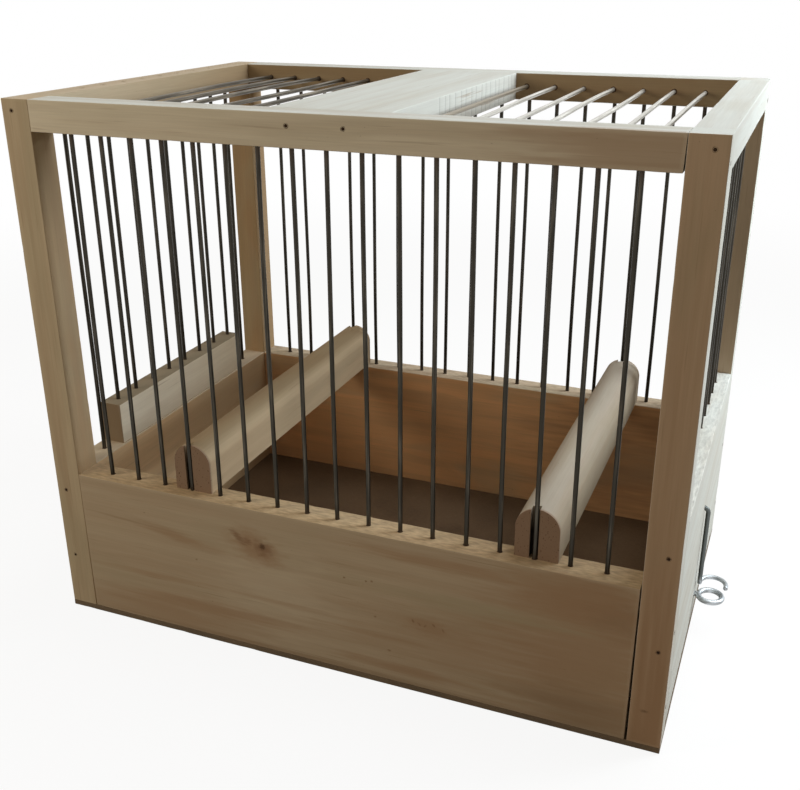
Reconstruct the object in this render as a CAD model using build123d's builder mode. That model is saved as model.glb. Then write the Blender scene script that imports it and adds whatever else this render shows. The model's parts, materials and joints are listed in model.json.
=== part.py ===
"""Wooden songbird cage: nailed timber frame, wire bars, lifting side door, pull-out tray and two perches.

Millimetres, +Z up. The front faces -Y and +X is to the right of someone facing it.
The origin is the centre of the base plate's underside.
"""

import os

from build123d import *

# Overall size of the cage without its hook and eye
width = 300.0
depth = 200.0
height = 255.0

# Timber sections
stock = 14.0  # section of the posts, and thickness of boards, panels and rails
rail_height = 13.5
base_thickness = 3.0
board_top = 78.0  # top edge of the front board, back board and left panel
right_panel_top = 104.0
roof_board_width = 52.0
roof_board_shift = -1.5  # middle of the plank from the middle of the cage

# Wire bars
wire_diameter = 2.0
wire_sides = 16  # faces around a bar, across corners of wire_diameter
front_wire_count = 17  # also the number of places across the roof
side_wire_count = 10
wire_in_rail = 6.0  # length driven into a top rail
wire_in_board = 10.0  # length driven into a board or panel
roof_wire_in_rail = 5.0

# Lifting door of the left side
door_bar_height = 21.5
door_bar_thickness = 12.0
door_bar_front = 7.0  # bar beyond the axis of its first wire
door_bar_back = 4.0  # bar beyond the axis of its last wire
door_wire_clearance = 0.3  # around a door wire in its rail hole
door_wire_below_top = 2.0  # wire ends stay this far under the rail's top face

# Perches
perch_width = 19.0
perch_height = 23.5
perch_crown = 8.2  # rise of the rounded top above the straight sides
perch_end_inset = 6.5  # end face to the outer face of the front board
kerf_room_left = 1.5  # between a wire and the left wall of its kerf
kerf_room_right = 0.3
kerf_behind_wire = 2.0  # room between a wire and the bottom of its kerf
left_perch_index = 3  # front wire that the left perch straddles, counted from 0 at the left
right_perch_index = 14
left_perch_shift = 1.2  # perch axis to the right of its wire
right_perch_shift = 0.6

# Tray
tray_floor_thickness = 3.0
tray_front_height = 15.6  # batten alone, on top of the tray floor
slide_gap = 0.4  # tray to the posts, boards and panels around it
tray_lift = 0.3  # tray floor above the base plate

# Screw eye on the tray front
eye_wire_diameter = 2.7
hardware_sides = 12  # faces around the wire of the eye and the hook
eye_outer_diameter = 13.8
eye_below_top = 3.7  # axis of the shank to the top of the batten
eye_neck = 0.9  # ring to the face of the batten
eye_shank_length = 11.0
eye_ring_turn = 335.0  # degrees of ring before its cut end

# Hook on the right panel
hook_wire_diameter = 2.2
hook_above_tray = 2.1  # axis of the bight to the top of the tray front
hook_drop = 42.5  # pivot down to the bight
hook_stand_off = 0.9  # wire to the face of the panel
hook_bend_radius = 2.4
hook_leg = 2.5  # straight stretch on each side of the bight
hook_bight_radius = 6.2
hook_in_panel = 10.5
hook_hole_clearance = 0.05
hook_hole_spare = 0.5  # hole beyond the wire's end

# Nails
nail_diameter = 1.4
nail_sides = 12
nail_head_diameter = 1.9
nail_head_height = 0.8
nail_length = 25.0
nail_proud = 0.1
nail_edge = 5.0  # nail to the edge of the post or rail
nail_below_top = 10.0  # upper nail to the top of a board or panel
nail_above_bottom = 28.0  # lower nail to the bottom of a board or panel
nail_stagger = 10.0  # side nails below those of the front and back, which cross them
rail_nail_low = 3.5  # side nails to the underside of the front and back rails
roof_nail_offset = 12.0  # roof board nails to the middle of the plank
base_nail_length = 16.0
tray_nail_length = 12.0
tray_nail_count = 4

# Derived planes and lengths
half_width = width / 2
half_depth = depth / 2
inner_x = half_width - stock
inner_y = half_depth - stock
wire_x = half_width - stock / 2  # plane of the side bars
wire_y = half_depth - stock / 2  # plane of the front and back bars
rail_bottom = height - rail_height
roof_wire_z = height - rail_height / 2
front_pitch = 2 * inner_x / (front_wire_count + 1)
side_pitch = 2 * inner_y / (side_wire_count + 1)
front_places = [-inner_x + front_pitch * (i + 1) for i in range(front_wire_count)]
side_places = [-inner_y + side_pitch * (i + 1) for i in range(side_wire_count)]
roof_board_x = (roof_board_shift - roof_board_width / 2, roof_board_shift + roof_board_width / 2)
roof_left_places = [x for x in front_places if x < roof_board_x[0] - wire_diameter / 2]
roof_right_places = [x for x in front_places if x > roof_board_x[1] + wire_diameter / 2]
tray_bottom = base_thickness + tray_lift
tray_floor_top = tray_bottom + tray_floor_thickness
tray_front_top = tray_floor_top + tray_front_height
right_panel_bottom = tray_front_top + slide_gap
eye_height = tray_front_top - eye_below_top
bight_z = tray_front_top + hook_above_tray
hook_pivot_height = bight_z + hook_drop
rail_nail_z = height - nail_edge

os.makedirs("parts", exist_ok=True)


def save(piece, node):
    """Label a finished piece and write it to a STEP file of its own."""
    piece.part.label = node
    export_step(piece.part, f"parts/{node}.step")


def timber(x_span, y_span, z_span):
    """A squared piece of wood or hardboard between two limits on each axis."""
    with BuildPart() as piece:
        with BuildSketch(Plane.XY.offset(z_span[0])):
            with Locations((sum(x_span) / 2, sum(y_span) / 2)):
                Rectangle(x_span[1] - x_span[0], y_span[1] - y_span[0])
        extrude(amount=z_span[1] - z_span[0])
    return piece


def upright_wires(places, z_span):
    """Straight vertical bars at the given (x, y) places."""
    with BuildPart() as wires:
        with BuildSketch(Plane.XY.offset(z_span[0])):
            with Locations(*places):
                RegularPolygon(wire_diameter / 2, wire_sides)
        extrude(amount=z_span[1] - z_span[0])
    return wires


def roof_wires(places):
    """Level bars from the front rail to the back rail at the given x places."""
    with BuildPart() as wires:
        with BuildSketch(Plane.XZ):
            with Locations(*[(x, roof_wire_z) for x in places]):
                RegularPolygon(wire_diameter / 2, wire_sides)
        extrude(amount=inner_y + roof_wire_in_rail, both=True)
    return wires


def nails(face, places, length, proud):
    """Flat-headed nails driven square into a face, whose plane points out of the wood."""
    with BuildPart() as driven:
        with BuildSketch(face.offset(proud)):
            with Locations(*places):
                RegularPolygon(nail_head_diameter / 2, nail_sides)
        extrude(amount=-nail_head_height)
        with BuildSketch(face.offset(proud - nail_head_height)):
            with Locations(*places):
                RegularPolygon(nail_diameter / 2, nail_sides)
        extrude(amount=nail_head_height - length)
    return driven


def perch(wire_place, shift):
    """A round-topped bar from front board to back board, kerfed at both ends for a wire."""
    length = depth - 2 * perch_end_inset
    shoulder = perch_height - perch_crown
    kerf_depth = stock / 2 - perch_end_inset + wire_diameter / 2 + kerf_behind_wire
    kerf_width = wire_diameter + kerf_room_left + kerf_room_right
    kerf_x = wire_place + (kerf_room_right - kerf_room_left) / 2
    axis_x = wire_place + shift
    section = Plane(origin=(axis_x, 0, board_top), x_dir=(1, 0, 0), z_dir=(0, -1, 0))
    with BuildPart() as bar:
        with BuildSketch(section):
            with BuildLine():
                Polyline(
                    (-perch_width / 2, shoulder),
                    (-perch_width / 2, 0),
                    (perch_width / 2, 0),
                    (perch_width / 2, shoulder),
                )
                ThreePointArc(
                    (perch_width / 2, shoulder), (0, perch_height), (-perch_width / 2, shoulder)
                )
            make_face()
        extrude(amount=length / 2, both=True)
        for end in (-1, 1):
            with Locations((kerf_x, end * (length - kerf_depth) / 2, board_top + perch_height / 2)):
                Box(kerf_width, kerf_depth, perch_height, mode=Mode.SUBTRACT)
    return bar


# Base plate, under the whole frame
base_plate = timber((-half_width, half_width), (-half_depth, half_depth), (0, base_thickness))
save(base_plate, "base_plate")

# Corner posts, from the base plate to the top
post_spans = {
    "left": (-half_width, -inner_x),
    "right": (inner_x, half_width),
    "front": (-half_depth, -inner_y),
    "back": (inner_y, half_depth),
}
for end in ("front", "back"):
    for side in ("left", "right"):
        post = timber(post_spans[side], post_spans[end], (base_thickness, height))
        save(post, f"post_{end}_{side}")

# Top rails and lower boards of the front and back, between the posts
for end in ("front", "back"):
    rail = timber((-inner_x, inner_x), post_spans[end], (rail_bottom, height))
    save(rail, f"{end}_rail")
    board = timber((-inner_x, inner_x), post_spans[end], (base_thickness, board_top))
    save(board, f"{end}_board")

# Bars of the front and back
for end, place_y in (("front", -wire_y), ("back", wire_y)):
    wires = upright_wires(
        [(x, place_y) for x in front_places],
        (board_top - wire_in_board, rail_bottom + wire_in_rail),
    )
    save(wires, f"{end}_wires")

# Left side: panel, rail drilled for the door, and the two fixed bars
left_panel = timber(post_spans["left"], (-inner_y, inner_y), (base_thickness, board_top))
save(left_panel, "left_panel")

door_places = [(-wire_x, y) for y in side_places[1:-1]]
with BuildPart() as left_rail:
    with BuildSketch(Plane.XY.offset(rail_bottom)):
        with Locations((-wire_x, 0)):
            Rectangle(stock, 2 * inner_y)
        with Locations(*door_places):
            Circle(wire_diameter / 2 + door_wire_clearance, mode=Mode.SUBTRACT)
    extrude(amount=rail_height)
save(left_rail, "left_rail")

for end, place_y in (("front", side_places[0]), ("back", side_places[-1])):
    fixed_wire = upright_wires(
        [(-wire_x, place_y)], (board_top - wire_in_board, rail_bottom + wire_in_rail)
    )
    save(fixed_wire, f"left_wire_{end}")

# Lifting door: the bar stops short of the fixed bars at both ends
door_bar_top = board_top + door_bar_height
door_bar = timber(
    (-wire_x - door_bar_thickness / 2, -wire_x + door_bar_thickness / 2),
    (side_places[1] - door_bar_front, side_places[-2] + door_bar_back),
    (board_top, door_bar_top),
)
save(door_bar, "door_bar")

door_wires = upright_wires(
    door_places, (door_bar_top - wire_in_board, height - door_wire_below_top)
)
save(door_wires, "door_wires")

# Right side: rail, bars, and a panel drilled for the hook's end
right_rail = timber(post_spans["right"], (-inner_y, inner_y), (rail_bottom, height))
save(right_rail, "right_rail")

right_wires = upright_wires(
    [(wire_x, y) for y in side_places],
    (right_panel_top - wire_in_board, rail_bottom + wire_in_rail),
)
save(right_wires, "right_wires")

with BuildPart() as right_panel:
    with BuildSketch(Plane.XY.offset(right_panel_bottom)):
        with Locations((wire_x, 0)):
            Rectangle(stock, 2 * inner_y)
    extrude(amount=right_panel_top - right_panel_bottom)
    with BuildSketch(Plane.YZ.offset(half_width)):
        with Locations((0, hook_pivot_height)):
            Circle(hook_wire_diameter / 2 + hook_hole_clearance)
    extrude(amount=-(hook_in_panel + hook_hole_spare), mode=Mode.SUBTRACT)
save(right_panel, "right_panel")

# Roof: plank from front rail to back rail, and bars on each side of it
roof_board = timber(roof_board_x, (-inner_y, inner_y), (rail_bottom, height))
save(roof_board, "roof_board")
save(roof_wires(roof_left_places), "roof_wires_left")
save(roof_wires(roof_right_places), "roof_wires_right")

# Nails through the posts and the front and back rails, into side pieces and roof board
post_nail_x = half_width - nail_edge
end_nail_places = [
    (-post_nail_x, rail_nail_z),
    (post_nail_x, rail_nail_z),
    (-post_nail_x, board_top - nail_below_top),
    (-post_nail_x, base_thickness + nail_above_bottom),
    (post_nail_x, right_panel_top - nail_below_top),
    (post_nail_x, right_panel_bottom + nail_above_bottom),
    (roof_board_shift - roof_nail_offset, rail_nail_z),
    (roof_board_shift + roof_nail_offset, rail_nail_z),
]
front_face = Plane.XZ.offset(half_depth)
save(nails(front_face, end_nail_places, nail_length, nail_proud), "front_nails")

back_face = Plane(origin=(0, half_depth, 0), x_dir=(-1, 0, 0), z_dir=(0, 1, 0))
back_nail_places = [(-x, z) for x, z in end_nail_places]
save(nails(back_face, back_nail_places, nail_length, nail_proud), "back_nails")

# Nails through the sides of the posts, into the ends of front and back rails and boards
side_nail_heights = (
    rail_bottom + rail_nail_low,
    board_top - nail_below_top - nail_stagger,
    base_thickness + nail_above_bottom - nail_stagger,
)
side_nail_y = half_depth - nail_edge
side_nail_places = [(y, z) for y in (-side_nail_y, side_nail_y) for z in side_nail_heights]
right_face = Plane.YZ.offset(half_width)
save(nails(right_face, side_nail_places, nail_length, nail_proud), "right_nails")

left_face = Plane(origin=(-half_width, 0, 0), x_dir=(0, -1, 0), z_dir=(-1, 0, 0))
save(nails(left_face, side_nail_places, nail_length, nail_proud), "left_nails")

# Nails up through the base plate, into the posts and the middle of the boards
under_face = Plane(origin=(0, 0, 0), x_dir=(1, 0, 0), z_dir=(0, 0, -1))
base_nail_places = [(x, y) for x in (-wire_x, 0, wire_x) for y in (-wire_y, wire_y)]
save(nails(under_face, base_nail_places, base_nail_length, 0), "base_nails")

# Tray: hardboard floor, batten on its right end, and the nails that join them
tray_y = (-inner_y + slide_gap, inner_y - slide_gap)
tray_floor = timber((-inner_x + slide_gap, half_width), tray_y, (tray_bottom, tray_floor_top))
save(tray_floor, "tray_floor")

tray_front = timber((inner_x, half_width), tray_y, (tray_floor_top, tray_front_top))
save(tray_front, "tray_front")

tray_nail_step = 2 * inner_y / tray_nail_count
tray_under = Plane(origin=(wire_x, 0, tray_bottom), x_dir=(1, 0, 0), z_dir=(0, 0, -1))
tray_nail_places = [
    (0, -inner_y + tray_nail_step * (i + 0.5)) for i in range(tray_nail_count)
]
save(nails(tray_under, tray_nail_places, tray_nail_length, 0), "tray_nails")

# Screw eye: level ring of bent wire, its cut end beside the shank that enters the batten
eye_wire_radius = eye_wire_diameter / 2
eye_ring_radius = eye_outer_diameter / 2 - eye_wire_radius
eye_centre_x = half_width + eye_neck + eye_outer_diameter / 2
with BuildPart() as pull_eye:
    with BuildSketch(Plane.XZ):
        with Locations((eye_centre_x - eye_ring_radius, eye_height)):
            RegularPolygon(eye_wire_radius, hardware_sides)
    revolve(axis=Axis((eye_centre_x, 0, eye_height), (0, 0, 1)), revolution_arc=eye_ring_turn)
    with BuildSketch(Plane.YZ.offset(half_width - eye_shank_length)):
        with Locations((0, eye_height)):
            RegularPolygon(eye_wire_radius, hardware_sides)
    extrude(amount=eye_centre_x - eye_ring_radius - half_width + eye_shank_length)
save(pull_eye, "pull_eye")

# Hook: wire bent out of the panel, straight down, then round a level bight open to the front
hook_x = half_width + hook_stand_off + hook_wire_diameter / 2
hook_tip_x = hook_x + 2 * hook_bight_radius
with BuildPart() as tray_hook:
    with BuildLine() as hook_path:
        FilletPolyline(
            (half_width - hook_in_panel, 0, hook_pivot_height),
            (hook_x, 0, hook_pivot_height),
            (hook_x, 0, bight_z),
            (hook_x, hook_leg, bight_z),
            radius=hook_bend_radius,
        )
        ThreePointArc(
            (hook_x, hook_leg, bight_z),
            (hook_x + hook_bight_radius, hook_leg + hook_bight_radius, bight_z),
            (hook_tip_x, hook_leg, bight_z),
        )
        Line((hook_tip_x, hook_leg, bight_z), (hook_tip_x, 0, bight_z))
    with BuildSketch(Plane.YZ.offset(half_width - hook_in_panel)):
        with Locations((0, hook_pivot_height)):
            RegularPolygon(hook_wire_diameter / 2, hardware_sides)
    sweep(path=hook_path.wires()[0])
save(tray_hook, "tray_hook")

# Perches
save(perch(front_places[left_perch_index], left_perch_shift), "perch_left")
save(perch(front_places[right_perch_index], right_perch_shift), "perch_right")
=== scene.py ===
"""Finished look of a wooden songbird cage: timber, bars, nails, door, tray, perches and hardware.

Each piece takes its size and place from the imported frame. Lengths are in metres, except in the marks,
the grain that a mesh keeps and the patterns of the finishes, which count in millimetres.
"""

import json
import math
import random
from functools import cache, cached_property

import bmesh
import bpy
from bpy.props import FloatProperty, FloatVectorProperty, PointerProperty
from mathutils import Matrix, Vector, noise
from mathutils.geometry import interpolate_bezier

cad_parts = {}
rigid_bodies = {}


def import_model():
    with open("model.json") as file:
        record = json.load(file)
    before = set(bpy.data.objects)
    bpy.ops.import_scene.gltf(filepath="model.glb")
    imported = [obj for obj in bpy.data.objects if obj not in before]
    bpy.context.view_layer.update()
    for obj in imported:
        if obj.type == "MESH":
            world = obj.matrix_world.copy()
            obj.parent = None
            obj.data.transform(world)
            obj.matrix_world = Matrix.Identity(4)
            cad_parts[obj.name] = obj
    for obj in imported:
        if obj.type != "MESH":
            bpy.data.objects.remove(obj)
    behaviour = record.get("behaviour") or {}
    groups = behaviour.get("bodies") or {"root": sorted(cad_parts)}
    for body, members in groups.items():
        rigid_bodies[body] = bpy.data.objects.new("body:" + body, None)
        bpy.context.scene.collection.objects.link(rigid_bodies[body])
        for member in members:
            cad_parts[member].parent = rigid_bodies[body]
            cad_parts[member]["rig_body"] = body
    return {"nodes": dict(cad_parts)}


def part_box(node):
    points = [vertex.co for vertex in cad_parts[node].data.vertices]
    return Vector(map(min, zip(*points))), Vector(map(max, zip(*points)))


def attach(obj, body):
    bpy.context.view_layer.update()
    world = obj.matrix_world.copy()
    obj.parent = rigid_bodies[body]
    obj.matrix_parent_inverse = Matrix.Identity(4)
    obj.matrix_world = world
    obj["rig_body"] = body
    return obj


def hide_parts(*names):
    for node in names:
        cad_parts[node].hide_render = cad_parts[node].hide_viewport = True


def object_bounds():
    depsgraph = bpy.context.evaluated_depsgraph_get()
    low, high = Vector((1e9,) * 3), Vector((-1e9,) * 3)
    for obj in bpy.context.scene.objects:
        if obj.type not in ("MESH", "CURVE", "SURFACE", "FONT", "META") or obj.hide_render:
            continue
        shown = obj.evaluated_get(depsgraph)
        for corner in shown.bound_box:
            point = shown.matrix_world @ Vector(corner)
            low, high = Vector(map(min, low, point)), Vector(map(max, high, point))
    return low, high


bl_info = {
    "name": "Songbird Cage",
    "version": (1, 0, 0),
    "blender": (4, 5, 0),
    "location": "View3D > Sidebar > Cage",
    "description": "Builds the finished pieces of a wooden songbird cage around its frame",
    "category": "Add Mesh",
}

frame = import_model()
cad_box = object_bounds()

MM = 0.001
X, Y, Z = (Vector(row) for row in Matrix.Identity(3))
QUARTER = math.pi / 2
MERGE = 1e-6  # points of a CAD mesh that are closer than this are one
FACING = 0.5  # least part of a direction that counts as facing along an axis
SQUARE_ON = 0.9  # least part that counts as square on to it

# Timber
EASE_STEPS = 3
EASE_SHARE = 0.2  # an eased edge takes at most this share of a timber's thickness
END_EASE = 0.12 * MM  # radius of the edges round a timber's ends
EDGE_BAND = 1.6 * MM  # width of the worn strip beside an edge
BAND_SHARE = 0.3  # that strip takes at most this share of a face
RING_STEP = 4.0 * MM  # spacing of the rings along a timber
FACE_STEP = 9.0 * MM  # spacing of the points across a wide face
WAVE_PITCH = 45 * MM
WAVE_DEPTH = 0.06 * MM
NICK_PITCH = 6.5 * MM
NICK_LEVEL = 0.30  # noise above this level cuts a nick
NOISE_REACH = 100.0  # how far apart the timbers' waves and nicks are drawn
SHARP = math.radians(35)
SHORTEST_EASED = 0.8 * MM  # edges under this length stay sharp, such as those round a hole
SAWN_SHARE = 0.3  # points within this share of an eased edge from a timber's end are sawn
HEART_NEAR, HEART_FAR = 32.0, 75.0  # millimetres from a timber's middle to the heart of its log
LOG_LENGTH = 4000.0
SAW_PITCH = 7.6 * MM
SAW_WANDER = 0.2  # how far a saw line strays, in pitches
SAW_WIDTH = 1.1 * MM
SAW_DEPTH = 0.40 * MM
SAW_START, SAW_STOP = 0.30, 0.97  # shares of the plank between which the saw lines show
# Share of the painted shade in the saw lines' grooves
SAW_SHADE = 0.5
TINY = 0.15 * MM  # play where the places of points are compared
KERF_SHADE = 0.6  # share of a perch's height up to which its kerfs take painted shade

# Gaps between a timber's end and the post beside it, at the timber's top and bottom
TIGHT = (0.02 * MM, 0.02 * MM)
HAIRLINE = (0.02 * MM, 0.40 * MM)
RAIL_CRACK = (0.15 * MM, 0.60 * MM)
BOARD_CRACK = (0.55 * MM, 1.15 * MM)
PANEL_SEAM = (0.35 * MM, 0.35 * MM)

# Bars, and the dark rims round them: bruised wood and the painted shade in their holes
BAR_SIDES = 14
BAR_STEP = 7 * MM
LEAST_BAR_STEPS = 8
BAR_BOW = 0.35 * MM
ROOF_BAR_BOW = 0.7 * MM
BAR_FILM = 3.5 * MM  # brown film on a bar, from the wood outwards
BAR_GRAIN = 900.0  # how far apart the bars' streaks are drawn
CUT_EASE = 0.25  # share of a wire's radius that is softened at its cut ends
BAR_RIM = 1.2 * MM  # outer radius of a rim
ROOF_BAR_RIM = 1.4 * MM
RIM_BORE = 0.47  # inner radius of a rim, in bar thicknesses
RIM_SPREAD = 0.15  # how much the rims differ in size
RIM_HEIGHT = 0.05 * MM
RIM_SLOPE = 0.4  # height of a rim's outer edge, as a share
RIM_SIDES = 18
RIM_FRAY = 0.16
RIM_RIPPLE = 1.7
RIM_GRAIN = 500.0  # how far apart the patterns of rims and nails are drawn

# Nails, with their radii in head radii
NAIL_SIDES = 18
NAIL_DOME = 0.25 * MM
NAIL_SHANK = 0.62
NAIL_POINT = 0.12  # share of a nail's length that is pointed
NAIL_BORE = 0.95  # inner radius of the bruised wood
NAIL_RIM = 1.08  # outer radius of the bruised wood

# Hardware
HARDWARE_SIDES = 20
RUN_STEP = 1.5 * MM
EYE_WIRE = 2.7 * MM
EYE_NECK = 0.7  # gap between neck and ring, in wires
EYE_START, EYE_TURN = math.radians(208), math.radians(334)
EYE_STEPS = 72
EYE_PULL = 0.45  # how far the neck's curve is pulled straight
EYE_JOIN = 11  # points from the neck to the ring
EYE_GRAIN = Vector((40.0, 7.0, 3.0))
HOOK_WIRE = 2.2 * MM
HOOK_STAND_OFF = 0.9 * MM
HOOK_BEND = 2.4 * MM
HOOK_STEPS = 10
HOOK_LOOP_STEPS = 36
HOOK_GRAIN = Vector((90.0, 4.0, 11.0))

# Stage
WHITE = (1.0, 1.0, 1.0)
FLOOR_SIZE = 8.0
FLOOR_DROP = 0.1 * MM  # floor under the base plate
FLOOR_GLOW = 0.9  # share of the floor's white that no shadow takes away
FLOOR_FADE = (0.45, 1.1)  # distances between which that share grows to the whole
LAMPS = {  # place and size of each
    "key": ((0.35, 0.20, 0.85), 0.5),
    "side": ((0.50, 0.20, 0.32), 0.16),
    "fill": ((-0.50, -0.42, 0.45), 0.25),
}

# Photograph
PHOTO_WIDTH = 800
PHOTO_FOCUS = 1021.75  # focal length in the photograph's pixels
SENSOR = 36.0

# Stains, bands, knots and flecks of front faces, and broad patches of painted shade, in millimetres from
# the cage's middle and the base:
# place along and up, half length, half height, turn in degrees, share and colour
# The first row is painted shade at the rail's right end; the thin rows are streaks of the wood.
RAIL_MARKS = (
    (125, 248, 70, 30, 0, 0.60, "blush"),
    (-25, 249, 18, 0.5, 1, 0.35, "ring"),
    (35, 246.5, 26, 0.5, -1, 0.30, "ring"),
)
# The first two rows are painted shade on the right front post's front, deepest low down; the last is a
# fleck.
POST_MARKS = (
    (143, 100, 40, 200, 0, 0.30, "blush"),
    (143, 0, 40, 110, 0, 0.95, "blush"),
    (142, 20, 2.5, 1, 0, 0.45, "fleck"),
)
# The broad soft marks at the board's right end are painted shade, and the first row darkens the strip along
# its bottom; the narrow bands, knots and flecks are the wood's own.
BOARD_MARKS = (
    (0, 3.5, 160, 3.2, 0, 0.80, "ring"),
    (118, 40, 70, 60, 0, 0.70, "blush"),
    (51, 70.3, 62, 5, 1, 0.65, "blush"),
    (66, 52, 76, 5.5, 0, 0.50, "shade"),
    (46, 36.5, 16, 6, 4, 0.60, "blush"),
    (108, 15, 40, 5.5, 0, 0.55, "ring"),
    (127.5, 62, 18, 11, 0, 0.70, "ring"),
    (116, 68, 44, 20, 0, 0.75, "blush"),
    (-95, 8, 75, 15, 0, 0.45, "blush"),
    (122, 10, 40, 18, 0, 0.60, "ring"),
    (55, 30, 62, 28, 0, 0.35, "blush"),
    (-32, 36, 44, 32, 0, 0.28, "fair"),
    (-69, 18, 74, 5, -1.5, 0.65, "blush"),
    (34, 10.5, 42, 4, 1, 0.65, "blush"),
    (-82, 55, 30, 4, 8, 0.60, "blush"),
    (-112, 58.3, 26, 0.9, 3, 0.45, "ring"),
    (-40, 58, 20, 11, 18, 0.75, "blush"),
    (-35.3, 58.6, 7, 6, 0, 0.50, "knot"),
    (-48, 62.2, 7, 2.4, 40, 0.60, "knot"),
    (-43.2, 61, 3.2, 2.4, 30, 0.50, "knot"),
    (-35.5, 59.6, 2.4, 2.2, 0, 0.80, "fleck"),
    (5.8, 52.9, 0.9, 0.7, 0, 0.70, "knot"),
    (16.5, 53.4, 0.8, 0.7, 0, 0.60, "knot"),
    (19.3, 54, 0.9, 0.7, 0, 0.60, "knot"),
    (-72.2, 44.6, 1, 0.7, 0, 0.55, "knot"),
    (20.8, 35.9, 1.1, 0.7, 0, 0.50, "knot"),
    (39, 38.2, 1.4, 0.7, 60, 0.60, "knot"),
    (42, 37.2, 1.6, 0.6, 50, 0.45, "knot"),
    (44.8, 37, 1.3, 0.6, -50, 0.45, "knot"),
    (48.8, 38.2, 1.5, 0.7, 40, 0.60, "knot"),
    (53.2, 36.6, 1.5, 0.6, 60, 0.50, "knot"),
    (27.4, 19.3, 1.1, 0.8, 0, 0.60, "knot"),
    (-95, 30, 45, 2.4, -1, 0.45, "blush"),
    (-30, 31, 50, 2, 1, 0.40, "blush"),
    (20, 26, 40, 2.2, 0, 0.45, "blush"),
)
# Painted shade on the back board's inside at its right.
BACK_SHADE_MARKS = ((95, 40, 70, 60, 0, 0.50, "knot"),)
MARK_DEPTH = 3.0  # how far a mark goes into the wood
STREAK = 2.5  # thickest streak at a mark's rim
FINEST_STREAK = 0.7
LONG_STREAK, SHORT_STREAK = 0.4, 0.3  # streaks, as shares of a mark's longer half and of the other
MARK_FADE = (1.55, 0.65)  # distance from a mark's middle, in halves plus noise, where it ends and is full

RING_PITCH = 7.5  # growth rings
RING_WANDER = 14.0


def colour(label, note, default):
    """A colour setting of the panel."""
    return FloatVectorProperty(
        name=label, description=note, subtype="COLOR", size=3, min=0.0, max=1.0, default=default
    )


def measure(label, note, unit, default):
    """A length, power or turn setting of the panel."""
    least = -math.pi if unit == "ROTATION" else 0.0
    return FloatProperty(name=label, description=note, unit=unit, min=least, default=default)


class CageTimber(bpy.types.PropertyGroup):
    """Colours of the wood, some of which paint light and shade on particular faces, and how far its edges
    are eased and nicked.
    """

    pale: colour("Pale wood", "Plank, right side, front and back rails", (0.70, 0.71, 0.67))
    # On the door bar's inside, fair is painted light, lighter than the bar's wood.
    fair: colour("Fair wood", "Front rail's face, door bar's inside", (0.80, 0.72, 0.58))
    # On the left rail's inside, cream is painted light; on the door bar's inside it is what that light
    # fades to towards the back.
    cream: colour("Cream wood", "Door bar, left rail's inside, left front post's face", (0.62, 0.51, 0.36))
    # On the back right post's inside, plain is painted shade, darker than the post's pale wood.
    plain: colour("Plain wood", "Boards, left side, back right post's inside", (0.57, 0.465, 0.34))
    # Tan on the back board's inside is painted warm bounce light in the shade.
    tan: colour("Tan wood", "Inside of the back board", (0.80, 0.45, 0.225))
    # Warm on the left panel's inside is painted light, lighter than the panel's wood.
    warm: colour("Warm wood", "Inside of the left panel", (0.84, 0.60, 0.355))
    # Dusky is painted shade on the back rail's inside, at the back of the left rail's inside and on the
    # left perch's top.
    dusky: colour("Dusky wood", "Rails' insides at the back, left perch's top", (0.35, 0.25, 0.145))
    # Ruddy is painted shade on the right front post's front.
    ruddy: colour("Ruddy wood", "Front of the right front post", (0.63, 0.475, 0.335))
    # Hazel is painted shade on the left front post's inside and the front board's top.
    hazel: colour("Hazel wood", "Left front post's inside, front board's top", (0.52, 0.38, 0.23))
    # Painted shade on the back left post's inside and at the back of the left panel's inside.
    aged: colour("Aged wood", "Back left post's inside, left panel's at the back", (0.44, 0.30, 0.165))
    # In the front board's marks, ring also paints shade at the board's right end and darkens its bottom
    # strip.
    ring: colour("Growth rings", "Summer growth and thin streaks", (0.36, 0.25, 0.16))
    # Blush is also painted shade in the broad marks on the front rail, the right front post and the front
    # board.
    blush: colour("Blush", "Reddish bands of heartwood", (0.42, 0.27, 0.165))
    shade: colour("Green shade", "Greenish grey patches", (0.47, 0.41, 0.28))
    # Knot is also painted shade on the back board's inside.
    knot: colour("Knots", "Reddish brown knots", (0.24, 0.12, 0.06))
    fleck: colour("Flecks", "Dark flecks, pores and bruises", (0.10, 0.055, 0.03))
    end_grain: colour("End grain", "Sawn ends of the perches", (0.32, 0.215, 0.15))
    door_end: colour("Door bar's ends", "Sawn ends of the door bar", (0.14, 0.07, 0.03))
    # Painted shade in the perches' kerfs and the plank's saw lines.
    kerf: colour("Kerfs", "Painted shade in kerfs and saw lines", (0.03, 0.022, 0.016))
    perch: colour("Perch wood", "Sides of the left perch", (0.60, 0.46, 0.30))
    grey_perch: colour("Grey perch", "Sides of the right perch", (0.40, 0.335, 0.255))
    # The right perch's top is painted light, lighter than its grey sides.
    grey_top: colour("Grey perch's top", "Rounded top of the right perch", (0.48, 0.42, 0.345))
    # Painted shade on the door bar's top.
    grimy: colour("Grimy wood", "Top of the door bar", (0.25, 0.20, 0.135))
    eased_edge: measure("Eased edge", "Radius of the timber's edges", "LENGTH", 0.35 * MM)
    nick: measure("Nicks", "Depth of the nicks along the edges", "LENGTH", 0.3 * MM)


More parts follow.
